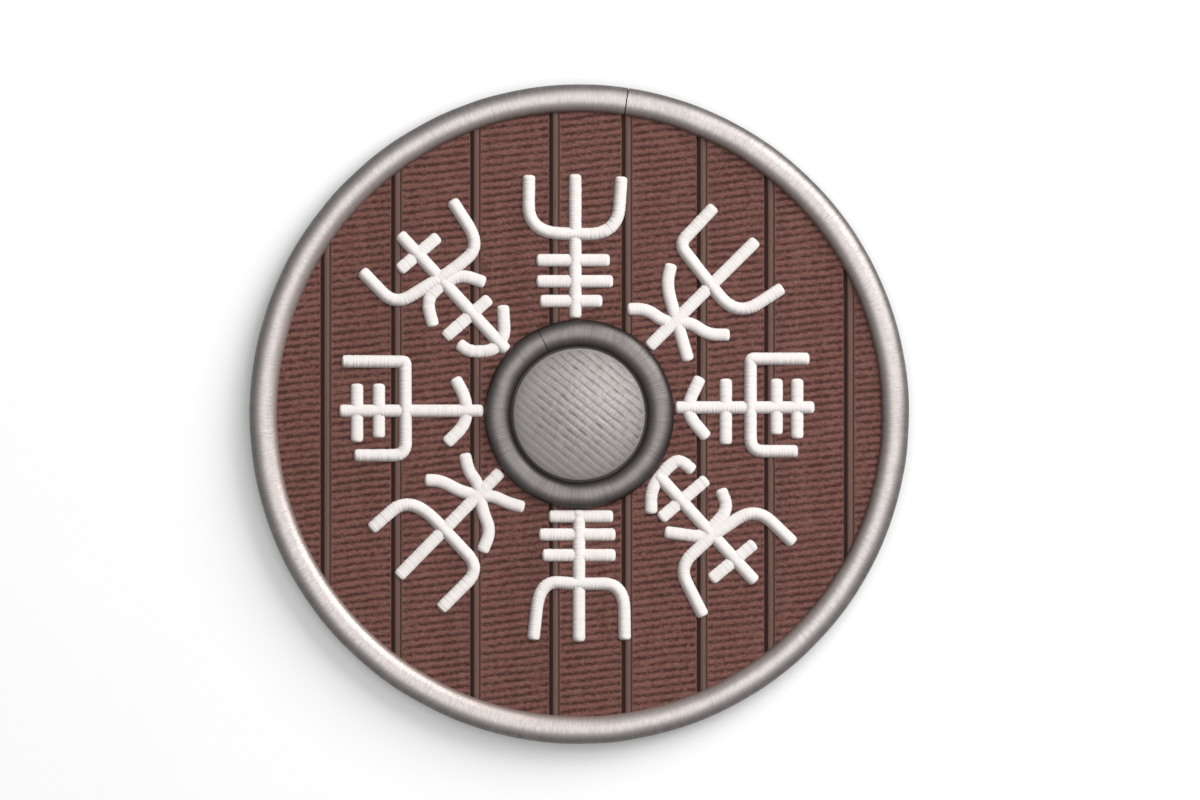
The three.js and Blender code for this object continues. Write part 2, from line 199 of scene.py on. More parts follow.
class Nodes:
    """Adds nodes to one tree. A socket or a plain value may be given for each input."""

    def __init__(self, tree):
        self.tree = tree

    def add(self, kind, inputs=None, **settings):
        node = self.tree.nodes.new("ShaderNode" + kind)
        for name, value in settings.items():
            setattr(node, name, value)
        for name, value in (inputs or {}).items():
            if isinstance(value, bpy.types.NodeSocket):
                self.tree.links.new(value, node.inputs[name])
            else:
                node.inputs[name].default_value = value
        return node

    def attribute(self, name):
        return self.add("Attribute", attribute_name=name).outputs["Fac"]

    def height(self, place):
        return self.add("SeparateXYZ", {0: place}).outputs["Z"]

    def math(self, operation, first, second):
        return self.add("Math", {0: first, 1: second}, operation=operation).outputs[0]

    def noise(self, vector, scale, detail, roughness, distortion=0.0):
        inputs = {"Vector": vector, "Scale": scale, "Detail": detail}
        inputs.update({"Roughness": roughness, "Distortion": distortion})
        return self.add("TexNoise", inputs).outputs["Fac"]

    def stretch(self, vector, scale, rotation=(0, 0, 0)):
        return self.add("Mapping", {"Vector": vector, "Scale": scale, "Rotation": rotation}).outputs["Vector"]

    def fade(self, value, low, high, start=0.0, end=1.0):
        inputs = {"Value": value, "From Min": low, "From Max": high, "To Min": start, "To Max": end}
        return self.add("MapRange", inputs).outputs["Result"]

    def mix(self, share, first, second, blend="MIX"):
        inputs = {0: share, 6: first, 7: second}
        return self.add("Mix", inputs, data_type="RGBA", blend_type=blend).outputs[2]

    def bump(self, height, distance, strength):
        inputs = {"Height": height, "Distance": distance, "Strength": strength}
        return self.add("Bump", inputs).outputs["Normal"]


def new_material(name):
    """A material with its Principled shader, as (material, nodes, shader)."""
    material = bpy.data.materials.new(name)
    material.use_nodes = True
    material.node_tree.nodes.clear()
    nodes = Nodes(material.node_tree)
    shader = nodes.add("BsdfPrincipled")
    out = nodes.add("OutputMaterial")
    material.node_tree.links.new(shader.outputs[0], out.inputs["Surface"])
    return material, nodes, shader


def dress(nodes, shader, colour, roughness, normal):
    """Give a shader its colour, its roughness and its fine relief."""
    for name, value in (("Base Color", colour), ("Roughness", roughness), ("Normal", normal)):
        nodes.tree.links.new(value, shader.inputs[name])


def wood_grain():
    """Grain that runs along Y of its vector: broad figure, fine streaks and open pores."""
    inputs = [("Vector", "Vector", None), ("Tone", "Float", 0.0)]
    group, given, result = new_group("wood grain", inputs,
                                     [("Figure", "Float"), ("Streaks", "Float"), ("Pores", "Float")])
    nodes = Nodes(group)
    shift = nodes.add("CombineXYZ", {"X": nodes.math("MULTIPLY", given["Tone"], 7.0),
                                     "Y": nodes.math("MULTIPLY", given["Tone"], 3.0)}).outputs[0]
    place = nodes.add("VectorMath", {0: given["Vector"], 1: shift}, operation="ADD").outputs[0]
    figure = nodes.noise(nodes.stretch(place, (28, 1.6, 28)), 1.0, 3.0, 0.5, 0.8)
    streaks = nodes.noise(nodes.stretch(place, (420, 9, 420)), 1.0, 4.0, 0.6, 0.3)
    pores = nodes.noise(nodes.stretch(place, (1100, 60, 1100)), 1.0, 1.0, 0.5)
    nodes.tree.links.new(figure, result["Figure"])
    nodes.tree.links.new(streaks, result["Streaks"])
    nodes.tree.links.new(nodes.fade(pores, 0.62, 0.72), result["Pores"])
    return group


grain = wood_grain()


def grain_at(nodes, vector, tone):
    """The wood grain at a place, as (figure, streaks, pores)."""
    grained = nodes.add("Group", {"Vector": vector, "Tone": tone}, node_tree=grain)
    return [grained.outputs[name] for name in ("Figure", "Streaks", "Pores")]


def stained_wood():
    """The red-brown face: darker in the low places, and paler on the ridges' crests."""
    material, nodes, shader = new_material("red-brown stained wood")
    here = nodes.add("TexCoord").outputs["Object"]
    groove, bead = nodes.attribute("groove"), nodes.attribute("bead")
    figure, streaks, pores = grain_at(nodes, here, nodes.attribute("tone"))
    torn = nodes.noise(nodes.stretch(here, (230, 480, 230), rotation=(0, 0, 0.5)), 1.0, 2.0, 0.7)
    colour = nodes.mix(nodes.fade(figure, 0.3, 0.7), (0.122, 0.046, 0.036, 1), (0.170, 0.071, 0.056, 1))
    colour = nodes.mix(nodes.fade(streaks, 0.45, 0.75, 0.0, 0.5), colour, (0.080, 0.028, 0.021, 1))
    colour = nodes.mix(nodes.fade(torn, 0.35, 0.65, 0.0, 0.6), colour, (0.215, 0.103, 0.086, 1))
    stain = nodes.math("ADD", groove, nodes.fade(torn, 0.3, 0.7, 0.22, -0.22))
    colour = nodes.mix(nodes.fade(stain, 0.15, 0.80, 0.0, 0.86), colour, (0.038, 0.010, 0.008, 1))
    colour = nodes.mix(nodes.math("MULTIPLY", bead, 0.85), colour, (0.125, 0.074, 0.062, 1))
    height = nodes.height(here)
    deep = nodes.fade(height, face_z - joint_depth * 0.85, face_z - joint_depth * 0.3, 1.0, 0.0)
    colour = nodes.mix(nodes.math("MULTIPLY", deep, 0.85), colour, (0.012, 0.005, 0.004, 1))
    colour = nodes.mix(nodes.math("MULTIPLY", pores, 0.35), colour, (0.03, 0.012, 0.010, 1))
    roughness = nodes.fade(streaks, 0.3, 0.7, 0.62, 0.78)
    relief = nodes.math("ADD", nodes.math("MULTIPLY", streaks, 0.6), nodes.math("MULTIPLY", torn, 0.8))
    dress(nodes, shader, colour, roughness, nodes.bump(relief, 0.0006, 0.7))
    shader.inputs["Specular IOR Level"].default_value = 0.2
    return material


def board_section(left, right, beaded, jointed):
    """The face of a board from left to right as (x, z): a quirked bead, the flat and a chamfer."""
    places = []
    flat = left
    if beaded:
        flat = left + bead_end
        bead = left + joint_width
        places += [(left, face_z - joint_depth), (left + joint_width * 0.6, face_z - joint_depth * 0.92)]
        for step in range(bead_steps + 1):
            turn = math.pi * step / bead_steps
            places.append((bead + bead_width / 2 * (1 - math.cos(turn)),
                           face_z - bead_depth * (1 - math.sin(turn))))
        places.append((flat - bead_depth * 0.35, face_z - bead_depth * 0.30))
    end = right - joint_width if jointed else right
    columns = max(round((end - flat) / face_column), 2)
    near = [flat, flat + edge_ease, end - edge_ease, end]
    near += [flat + (end - flat) * step / columns for step in range(1, columns)]
    places += [(x, face_z) for x in sorted(near)]
    if jointed:
        places += [(right - joint_width * 0.45, face_z - joint_depth * 0.45), (right, face_z - joint_depth)]
    return places


def groove_share(x, y):
    """How deep the saw has bitten, from 0 on a ridge's crest to 1 between two ridges."""
    wobble = 0.12 * noise.noise(Vector((x * 22, y * 30, 1)))
    wobble += 0.10 * noise.noise(Vector((x * 190, y * 90, 2)))
    wave = 0.5 - 0.5 * math.cos(math.tau * ((y - x * ridge_rise) / ridge_pitch + wobble))
    bite = 0.74 + 0.45 * noise.noise(Vector((x * 230, y * 150, 3)))
    bite += 0.15 * noise.noise(Vector((x * 35, y * 18, 4)))
    return min(max(wave * bite, 0), 1)


def saw_board(name):
    """One board, from the drawn section of its face."""
    low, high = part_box(name)
    beaded = name != board_names[0]
    jointed = name != board_names[-1]
    section = board_section(low.x - joint_closing, high.x + joint_closing, beaded, jointed)
    rise = (high.x - low.x) * ridge_rise
    rows = math.ceil((high.y - low.y + 2 * rise + 2 * row_margin) / ridge_pitch * rows_in_ridge)
    start = low.y - rise - row_margin
    draw_line([(x, start + (x - low.x) * ridge_rise, z) for x, z in section])
    bpy.ops.object.mode_set(mode="OBJECT")
    board = bpy.context.object
    settle(board)
    draw_out(board, "Y", rows * ridge_pitch / rows_in_ridge, rows)
    field_left = low.x + bead_end
    field_right = high.x - joint_width

    def share(place):
        inside = smooth_step(place.x, field_left, field_left + edge_ease) if beaded else 1
        inside *= smooth_step(-place.x, -field_right, -field_right + edge_ease) if jointed else 1
        return inside * groove_share(place.x, place.y)

    dent(board, ridge_depth, share, "Z")
    bpy.ops.object.mode_set(mode="EDIT")
    bpy.ops.mesh.select_all(action="SELECT")
    bpy.ops.mesh.region_to_loop()
    bpy.ops.mesh.extrude_edges_move(TRANSFORM_OT_translate={"value": (0, 0, back_z - face_z)})
    bpy.ops.transform.resize(value=(1, 1, 0), center_override=(0, 0, back_z))
    bpy.ops.mesh.edge_face_add()
    turn_outwards()
    return board


def note_board(board, left, beaded, tone):
    """Note on each point of a board its tone, whether it is on the bead, and how deep the saw bit."""
    bead_right = left + bead_end - bead_depth * 0.3
    places = [vertex.co.copy() for vertex in board.data.vertices]
    on_bead = [beaded and place.x < bead_right for place in places]
    note(board, "tone", [tone] * len(places))
    note(board, "bead", [float(bead) for bead in on_bead])
    note(board, "groove", [0.0 if bead else min((face_z - place.z) / ridge_depth, 1.0)
                           for place, bead in zip(places, on_bead)])


def disc_cutter():
    """A disc with a hole in it, that every board is cut to."""
    depth = face_z - back_z + 2 * cutter_reach
    middle = (0, 0, (face_z + back_z) / 2)
    bpy.ops.mesh.primitive_cylinder_add(vertices=hand_hole_sides, radius=hand_hole_radius,
                                        depth=2 * depth, location=middle)
    hole = bpy.context.object
    bpy.ops.mesh.primitive_cylinder_add(vertices=disc_sides, radius=board_radius,
                                        depth=depth, location=middle)
    disc = bpy.context.object
    cut(disc, hole, "DIFFERENCE")
    remove(hole)
    return disc


wood = stained_wood()
disc = disc_cutter()
for order, name in enumerate(board_names):
    board = saw_board(name)
    cut(board, disc, "INTERSECT")
    if name in ("board_5_upper", "board_5_lower"):
        bpy.ops.object.mode_set(mode="EDIT")
        bpy.ops.mesh.select_all(action="SELECT")
        upper = name == "board_5_upper"
        bpy.ops.mesh.bisect(plane_co=(0, 0, 0), plane_no=(0, 1, 0), use_fill=True,
                            clear_inner=upper, clear_outer=not upper)
        bpy.ops.object.mode_set(mode="OBJECT")
    tone = noise.noise(Vector((order * 3.7, 0.5, 0)))
    note_board(board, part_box(name)[0].x, name != board_names[0], tone)
    hand_over(board, "sawn_" + name, wood, [name], 50)
remove(disc)

# ---------------------------------------------------------------- rim
# A steel channel shrunk round the boards' edge: a hollow half-round over the face, a web, and
# a narrow flange over the back. It is rolled from one strip, butted near the top, and ground
# across its width, so that fine scratches run towards the middle.

rim_low, rim_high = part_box("rim")
shield_radius = rim_high.x
rim_width = 0.034
rim_sheet = 0.0016
rim_flange = 0.020
rim_ease = 0.0012  # of the outer edge of the flange
rim_sides = 360
rim_dents = 0.0005
rim_joint_turn = 90 - 8.6  # degrees round from +X
rim_joint_gap = 0.0009
round_steps = 28  # in a half-round
hollow_steps = 12  # in the half-round inside the rim
away_from_key = (-0.76, -0.65, 0)  # the way that faces away from the key light: painted shade on the rim and staves, painted light on the dome


def half_round(inner, outer, z, height, steps):
    """Half of an ellipse from the outer radius to the inner one, standing on z, as (radius, z)."""
    middle, half = (inner + outer) / 2, (outer - inner) / 2
    turns = [math.pi * step / steps for step in range(steps + 1)]
    return [(middle + half * math.cos(turn), z + height * math.sin(turn)) for turn in turns]


def spin(section, sides):
    """Turn a drawn section once round the middle of the shield."""
    draw_line([(radius, 0, z) for radius, z in section])
    bpy.ops.mesh.select_all(action="SELECT")
    bpy.ops.mesh.spin(steps=sides, angle=math.tau, center=(0, 0, 0), axis=(0, 0, 1))
    bpy.ops.mesh.select_all(action="SELECT")
    bpy.ops.mesh.remove_doubles(threshold=0.00002)
    turn_outwards()
    piece = bpy.context.object
    settle(piece)
    return piece


def uneven(fineness, seed):
    """Shares for dent that give broad, shallow dents all over a piece."""
    return lambda place: 0.5 + 0.9 * noise.noise(Vector((place.x * fineness, place.y * fineness, seed)))


def radial_grinding():
    """Fine scratches that run towards the middle of the shield."""
    inputs = [("Vector", "Vector", None), ("Fineness", "Float", 400.0)]
    group, given, result = new_group("radial grinding", inputs,
                                     [("Scratches", "Float"), ("Bands", "Float"), ("Radius", "Float")])
    nodes = Nodes(group)
    flat = nodes.add("VectorMath", {0: given["Vector"], 1: (1, 1, 0)}, operation="MULTIPLY").outputs[0]
    radius = nodes.add("VectorMath", {0: flat}, operation="LENGTH").outputs["Value"]
    around = nodes.add("VectorMath", {0: flat}, operation="NORMALIZE").outputs[0]
    drift = nodes.add("CombineXYZ", {"Z": nodes.math("MULTIPLY", radius, 0.35)}).outputs[0]
    place = nodes.add("VectorMath", {0: around, 1: drift}, operation="ADD").outputs[0]
    nodes.tree.links.new(nodes.noise(place, given["Fineness"], 3.0, 0.65), result["Scratches"])
    nodes.tree.links.new(nodes.noise(place, 38.0, 3.0, 0.55), result["Bands"])
    nodes.tree.links.new(radius, result["Radius"])
    return group


grinding = radial_grinding()


def facing(nodes, direction):
    """How far a surface faces one way across the shield, from -1 to 1."""
    normal = nodes.add("TexCoord").outputs["Normal"]
    return nodes.add("VectorMath", {0: normal, 1: direction}, operation="DOT_PRODUCT").outputs["Value"]


def dimmed(nodes, colour, share):
    """A colour times a share of its brightness."""
    grey = nodes.add("CombineColor", {0: share, 1: share, 2: share}).outputs[0]
    return nodes.mix(1.0, colour, grey, "MULTIPLY")


def ground_steel():
    """Bright steel, ground across its width, with a painted highlight on the crest and painted shade on the
    flanks, the inner flank shaded where it faces away from the key light.
    """
    material, nodes, shader = new_material("ground steel")
    here = nodes.add("TexCoord").outputs["Object"]
    ground = nodes.add("Group", {"Vector": here, "Fineness": 330.0}, node_tree=grinding)
    scratches, bands = ground.outputs["Scratches"], ground.outputs["Bands"]
    height = nodes.height(here)
    # painted highlight and shade: the crest is coloured brighter than both flanks, and the outer flank
    # darkest
    crest = nodes.math("POWER", nodes.fade(height, face_z + 0.003, rim_high.z - 0.0004), 2.6)
    outwards = nodes.fade(ground.outputs["Radius"], shield_radius - 0.020, shield_radius - 0.012)
    # painted shade: the inner flank is coloured darker where it faces away from the key light and lighter
    # where it faces it
    painted_side_shade = nodes.fade(facing(nodes, away_from_key), -0.5, 0.3)
    inner_flank = nodes.mix(painted_side_shade, (0.50, 0.415, 0.385, 1), (0.225, 0.180, 0.165, 1))
    flank = nodes.mix(outwards, inner_flank, (0.128, 0.115, 0.110, 1))
    colour = nodes.mix(crest, flank, (0.52, 0.477, 0.461, 1))
    colour = dimmed(nodes, colour, nodes.fade(scratches, 0.32, 0.68, 1.09, 0.80))
    colour = nodes.mix(nodes.fade(bands, 0.45, 0.75, 0.0, 0.12), colour, (0.58, 0.535, 0.515, 1))
    roughness = nodes.fade(scratches, 0.3, 0.7, 0.34, 0.48)
    dress(nodes, shader, colour, roughness, nodes.bump(scratches, 0.0005, 0.6))
    shader.inputs["Metallic"].default_value = 0.7
    return material


def rim_section():
    """The closed section of the rim as (radius, z), from its back flange round the outside."""
    inner = shield_radius - rim_width
    inside = shield_radius - rim_sheet
    flange = shield_radius - rim_flange
    low = rim_low.z
    height = rim_high.z - face_z
    places = [(flange, low), ((flange + shield_radius) / 2, low), (shield_radius - rim_ease, low)]
    places += [(shield_radius - rim_ease * 0.3, low + rim_ease * 0.3), (shield_radius, low + rim_ease)]
    places += [(shield_radius, (low + face_z) / 2)]
    places += half_round(inner, shield_radius, face_z, height, round_steps)
    places += half_round(inner + rim_sheet, inside, face_z, height - rim_sheet, hollow_steps)[::-1]
    return places + [(inside, back_z), (flange, back_z), (flange, low)]


def butt_joint(piece, degrees, radius, gap):
    """Cut a ring through where the two ends of its strip meet."""
    turn = math.radians(degrees)
    place = (radius * math.cos(turn), radius * math.sin(turn), face_z)
    bpy.ops.mesh.primitive_cube_add(size=1, location=place, rotation=(0, 0, turn),
                                    scale=(2 * rim_width, gap, 2 * rim_width))
    saw = bpy.context.object
    cut(piece, saw, "DIFFERENCE")
    remove(saw)


rim = spin(rim_section(), rim_sides)
butt_joint(rim, rim_joint_turn, shield_radius - rim_width / 2, rim_joint_gap)
dent(rim, rim_dents, uneven(24, 0))
hand_over(rim, "rolled_rim", ground_steel(), ["rim"], 50)

# ---------------------------------------------------------------- boss dome
# The bowl over the hand hole, raised from 2 mm steel sheet with a flat flange round its foot.
# It was dressed with a coarse file, in straight strokes that slant down to the right.

dome_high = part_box("boss_dome")[1]
dome_radius = 0.081
dome_sheet = 0.002
flange_radius = dome_high.x
dome_height = dome_high.z - face_z
flute_pitch = 0.0091
flute_depth = 0.0008
flute_slant = math.radians(-39)
dome_sides = 400
dome_steps, dome_hollow_steps = 76, 24  # from the top to the foot, outside and inside


def ball_radius(height, radius):
    """The radius of the ball that a dome of this height and foot is a part of."""
    return (radius * radius + height * height) / (2 * height)


def dome_arc(height, radius, z, steps):
    """One face of the dome, from its top down to z, as (radius, z)."""
    ball = ball_radius(height, radius)
    centre = face_z + height - ball
    end = math.acos((z - centre) / ball)
    turns = [end * step / steps for step in range(steps + 1)]
    return [(ball * math.sin(turn), centre + ball * math.cos(turn)) for turn in turns]


dome_ball = ball_radius(dome_height, dome_radius)
dome_centre = Vector((0, 0, dome_high.z - dome_ball))


def flute_share(place):
    """How deep the file has cut the outer face, in bands that slant down to the right."""
    across = place.y * math.cos(flute_slant) - place.x * math.sin(flute_slant)
    along = place.x * math.cos(flute_slant) + place.y * math.sin(flute_slant)
    wobble = 0.10 * noise.noise(Vector((along * 40, across * 40, 5)))
    wave = 0.5 - 0.5 * math.cos(math.tau * (across / flute_pitch + wobble))
    radius = math.hypot(place.x, place.y)
    inside = 1 - smooth_step(radius, dome_radius - 0.005, dome_radius - 0.001)
    outside = 1 if (place - dome_centre).length > dome_ball - 0.6 * dome_sheet else 0
    bite = 0.8 + 0.3 * noise.noise(Vector((along * 90, across * 220, 6)))
    return wave * bite * inside * outside


def filed_steel():
    """Grey satin steel: darker in the flutes and marked across them by the file's teeth, with painted light
    towards the foot, most on the side away from the key light, and painted shade in the crevice at the foot.
    """
    material, nodes, shader = new_material("filed steel")
    here = nodes.add("TexCoord").outputs["Object"]
    groove = nodes.attribute("groove")
    turn = nodes.add("VectorRotate", {"Vector": here, "Angle": -flute_slant}, rotation_type="Z_AXIS")
    turned = turn.outputs["Vector"]
    scratches = nodes.noise(nodes.stretch(turned, (60, 900, 60)), 1.0, 3.0, 0.6)
    clouds = nodes.noise(here, 22.0, 3.0, 0.55)
    height = nodes.height(here)
    teeth = nodes.noise(nodes.stretch(turned, (620, 130, 60)), 1.0, 2.0, 0.6)
    colour = nodes.mix(nodes.fade(scratches, 0.3, 0.7), (0.49, 0.450, 0.440, 1), (0.35, 0.318, 0.308, 1))
    colour = nodes.mix(nodes.fade(clouds, 0.4, 0.7, 0.0, 0.2), colour, (0.31, 0.285, 0.275, 1))
    colour = nodes.mix(nodes.fade(teeth, 0.48, 0.62, 0.0, 0.5), colour, (0.22, 0.198, 0.190, 1))
    colour = nodes.mix(nodes.fade(groove, 0.5, 0.95, 0.0, 0.9), colour, (0.13, 0.112, 0.108, 1))
    # painted light: the dome is coloured lighter towards its foot, most on the side away from the key light,
    # against its shading
    painted_foot_light = nodes.fade(height, dome_high.z - 0.004, face_z + 0.008, 0.0, 0.75)
    painted_side_light = nodes.fade(facing(nodes, away_from_key), -0.35, 0.45, 0.12, 1.0)
    colour = nodes.mix(nodes.math("MULTIPLY", painted_foot_light, painted_side_light), colour, (0.66, 0.61, 0.59, 1))
    # painted shade: a near-black band just above the flange, in the crevice by the ring
    foot = nodes.fade(height, face_z + dome_sheet + 0.0002, face_z + dome_sheet + 0.0010, 1.0, 0.0)
    colour = nodes.mix(foot, colour, (0.05, 0.044, 0.041, 1))
    roughness = nodes.fade(scratches, 0.3, 0.7, 0.64, 0.76)
    relief = nodes.bump(nodes.math("ADD", scratches, teeth), 0.0004, 0.6)
    dress(nodes, shader, colour, roughness, relief)
    shader.inputs["Metallic"].default_value = 0.25
    return material


def dome_section():
    """The closed section of the dome and its flange, from the axis inside to the axis outside."""
    flange_top = face_z + dome_sheet
    outer = dome_arc(dome_height, dome_radius, flange_top, dome_steps)
    inner = dome_arc(dome_height - dome_sheet, dome_radius - dome_sheet, face_z, dome_hollow_steps)
    return inner + [(flange_radius, face_z), (flange_radius, flange_top)] + outer[::-1]


dome = spin(dome_section(), dome_sides)
dent(dome, flute_depth, flute_share)
note(dome, "groove", [flute_share(vertex.co) for vertex in dome.data.vertices])
hand_over(dome, "raised_dome", filed_steel(), ["boss_dome"], 50)

# ---------------------------------------------------------------- boss ring
# A half-round ring of dark iron that covers the dome's flange. It is forged, bent round and
# ground like the rim, and the six rivets that hold the boss end inside it.

ring_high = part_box("boss_ring")[1]
ring_inner = 0.0825
ring_outer = ring_high.x
ring_lip = flange_radius + 0.0003
ring_sides = 288
ring_dents = 0.0006
ring_joint_turn = 116
ring_joint_gap = 0.0006


def dark_iron_finish():
    """Dark iron, ground across its width, with a painted highlight on the crest and painted shade on the
    flanks.
    """
    material, nodes, shader = new_material("dark iron")
    here = nodes.add("TexCoord").outputs["Object"]
    ground = nodes.add("Group", {"Vector": here, "Fineness": 90.0}, node_tree=grinding)
    scratches, bands = ground.outputs["Scratches"], ground.outputs["Bands"]
    height = nodes.height(here)
    # painted highlight and shade: the crest is coloured bright and the flanks near-black, by height
    crest = nodes.math("POWER", nodes.fade(height, face_z + 0.004, ring_high.z - 0.0004), 2.8)
    colour = nodes.mix(crest, (0.044, 0.037, 0.035, 1), (0.218, 0.198, 0.191, 1))
    colour = dimmed(nodes, colour, nodes.fade(scratches, 0.32, 0.68, 1.10, 0.85))
    colour = nodes.mix(nodes.fade(bands, 0.5, 0.75, 0.0, 0.3), colour, (0.06, 0.052, 0.050, 1))
    roughness = nodes.fade(scratches, 0.3, 0.7, 0.34, 0.50)
    dress(nodes, shader, colour, roughness, nodes.bump(scratches, 0.0006, 0.6))
    shader.inputs["Metallic"].default_value = 0.7
    return material


def ring_section():
    """The closed section of the ring: a lip that drops past the flange, and the half-round."""
    flange_top = face_z + dome_sheet
    places = [(ring_lip, flange_top), (ring_lip, face_z), (ring_outer, face_z)]
    places += half_round(ring_inner, ring_outer, flange_top, ring_high.z - flange_top, round_steps)
    return places + [(ring_lip, flange_top)]


ring = spin(ring_section(), ring_sides)
butt_joint(ring, ring_joint_turn, (ring_inner + ring_outer) / 2, ring_joint_gap)
dent(ring, ring_dents, uneven(40, 8))
iron = dark_iron_finish()
hand_over(ring, "forged_ring", iron, ["boss_ring"], 50)

# ---------------------------------------------------------------- rivets
# Six iron rivets pass from the back through the boards and the flange into the ring. Each has
# a low round head, hammered on the back of the boards.

rivet_names = [f"rivet_{number}" for number in range(1, 7)]
rivet_shank = 0.0032
rivet_ease = 0.0006  # of the end of the shank
rivet_edge = 0.0008  # the upright edge of the head
rivet_dents = 0.0005
rivet_sides = 32


def centre_of(node):
    """The middle of a solid's box."""
    low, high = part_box(node)
    return (low + high) / 2


def moved_copy(piece, place):
    """A copy of a piece with its own mesh, moved to a place."""
    copy = piece.copy()
    copy.data = piece.data.copy()
    bpy.context.collection.objects.link(copy)
    copy.location = place
    return copy


def rivet_section():
    """The closed section of a rivet, from the axis at its head to the axis at its other end."""
    low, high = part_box("rivet_1")
    head = (high.x - low.x) / 2
    rise = back_z - low.z - rivet_edge
    turns = [math.pi / 2 * step / 7 for step in range(8)]
    places = [(head * math.sin(turn), back_z - rivet_edge - rise * math.cos(turn)) for turn in turns]
    places += [(head, back_z), (rivet_shank, back_z), (rivet_shank, high.z - rivet_ease)]
    return places + [(rivet_shank - rivet_ease, high.z), (0, high.z)]


def hammer_marks(foot, seed):
    """Shares for dent that mark the head of a rivet, and leave its shank as it is."""
    def share(place):
        if place.z >= back_z - rivet_dents:
            return 0
        return noise.noise((place - foot) * 300 + Vector((seed, 0, 0)))
    return share


rivet = spin(rivet_section(), rivet_sides)
for number, name in enumerate(rivet_names):
    middle = centre_of(name)
    foot = Vector((middle.x, middle.y, 0))
    copy = moved_copy(rivet, foot)
    settle(copy)
    dent(copy, rivet_dents, hammer_marks(foot, number))
    hand_over(copy, "hammered_" + name, iron, [name], 40)
remove(rivet)

# ---------------------------------------------------------------- staves
# Eight staves of white gesso, chalk in glue, are built up on the boards in half-round strokes.
# The cross strokes are laid first, then the stem, and the fork over both. The brush has left
# fine marks across every stroke.

stroke_width = 0.0155
stroke_foot = 0.0012  # sunk in the saw ridges
stroke_end = 0.005  # over which the ends are rounded
stroke_sides = 15
bend_steps = 8
brush_step = 0.0012  # between two sections of a stroke
brush_mark = 0.07  # of the stroke's size, by which the brush swells and thins it
bar_height, stem_height, fork_height = 0.0032, 0.0040, 0.0048
stem_foot = 116  # in millimetres, clear of the ring
# Corners of each stroke in millimetres, [across, outward, rounding], for a stave that points up.
staves = {
    "stave_top": {
        "stem": [[-5, stem_foot], [-5, 291]],
        "fork": [[-61, 290], [-62, 220, 40], [46, 217, 38], [51, 288]],
        "bars": [[[-52, 186.5], [37, 186.5]], [[-52, 161], [41, 161]], [[-48, 137], [28, 137]]]},
    "stave_top_right": {
        "stem": [[2, stem_foot], [3, 301]],
        "fork": [[-62, 294], [-60, 231, 12], [52, 217, 36], [66, 283]],
        "bars": [[[-50, 208], [-36, 185, 20], [48, 139]],
                 [[-49, 131], [-32, 148, 16], [-4, 152, 14], [16, 174, 14], [42, 178, 16], [61, 197]]]},
    "stave_right": {
        "stem": [[-8, stem_foot], [-8, 285]],
        "fork": [[-67, 279], [-67, 207.5, 4], [45, 207.5, 16], [45, 265]],
        "bars": [[[-45, 147], [-14, 132, 20], [3, 133, 14], [29, 155]],
                 [[-43, 177.5], [37, 177.5]], [[-43, 239], [25, 239]], [[-43, 264], [30, 264]]]},
    "stave_bottom_right": {
        "stem": [[-15, stem_foot + 2], [-7, 295]],
        "fork": [[-73, 295], [-72, 230, 28], [-8, 218, 12], [46, 216, 22], [67, 280]],
        "bars": [[[-49, 147], [-47, 124, 14], [-31, 121, 10], [2, 125, 14], [24, 147]],
                 [[-54, 165], [21, 159]],
                 [[-57, 185], [-46, 210, 18], [0, 211, 12], [28, 174]],
                 [[-40, 261], [30, 254.5]]]},
    "stave_bottom": {
        "stem": [[0.5, stem_foot], [0.5, 276]],
        "fork": [[56, 274], [48, 202, 34], [0, 206, 14], [-54, 205, 34], [-55, 274]],
        "bars": [[[37, 124], [-41, 124]], [[49, 146], [-44, 146]], [[45, 171], [-44, 171]]]},
    "stave_bottom_left": {
        "stem": [[18, stem_foot], [16, 295]],
        "fork": [[80, 278], [76, 213, 46], [-48, 217, 24], [-48, 287]],
        "bars": [[[65, 132], [46, 144, 14], [28, 146, 12], [0, 166, 12], [-24, 176, 20], [-35, 202]],
                 [[76, 189], [62, 176, 12], [30, 166, 14], [2, 143, 12], [-14, 138, 12], [-33, 127]]]},
    "stave_left": {
        "stem": [[4, stem_foot], [4, 291]],
        "fork": [[64, 288], [63.5, 211, 4], [-50, 210.5, 16], [-50, 273]],
        "bars": [[[44, 151], [18, 137, 18], [-12, 137, 20], [-36, 162]],
                 [[37, 243], [-29, 243]], [[37, 269.5], [-34, 269.5]]]},
    "stave_top_left": {
        "stem": [[-8, stem_foot], [0, 309]],
        "fork": [[74, 293], [60, 228, 34], [14, 232, 20], [-65, 251, 22], [-64, 310]],
        "bars": [[[28, 159], [3, 131, 10], [-19, 128, 10], [-41, 147, 18], [-43, 165]],
                 [[23, 176], [-50, 181]],
                 [[32, 193], [18, 222, 22], [-12, 230, 12], [-34, 228, 16], [-50, 200]],
                 [[32, 273], [-32, 278]]]},
}


def stroke_route(corners, turn):
    """The middle line of a stroke in metres, with its bends rounded, turned to its stave's place."""
    places = [Vector((corner[0], corner[1])) / 1000 for corner in corners]
    route = []
    for index, corner in enumerate(corners):
        here = places[index]
        if len(corner) < 3:
            route.append(here)
            continue
        rounding = corner[2] / 1000
        ends = []
        for other in (places[index - 1], places[index + 1]):
            share = min(rounding / (here - other).length, 0.48)  # two bends never meet
            ends.append(here.lerp(other, share))
        for step in range(bend_steps + 1):
            share = step / bend_steps
            route.append(ends[0].lerp(here, share).lerp(here.lerp(ends[1], share), share))
    cos, sin = math.cos(turn), math.sin(turn)
    return [Vector((place.x * cos - place.y * sin, place.x * sin + place.y * cos, face_z)) for place in route]


def even_steps(route, step):
    """The same line with a point about every step."""
    places = [route[0]]
    for here, there in zip(route, route[1:]):
        count = max(round((there - here).length / step), 1)
        places += [here.lerp(there, part / count) for part in range(1, count + 1)]
    return places


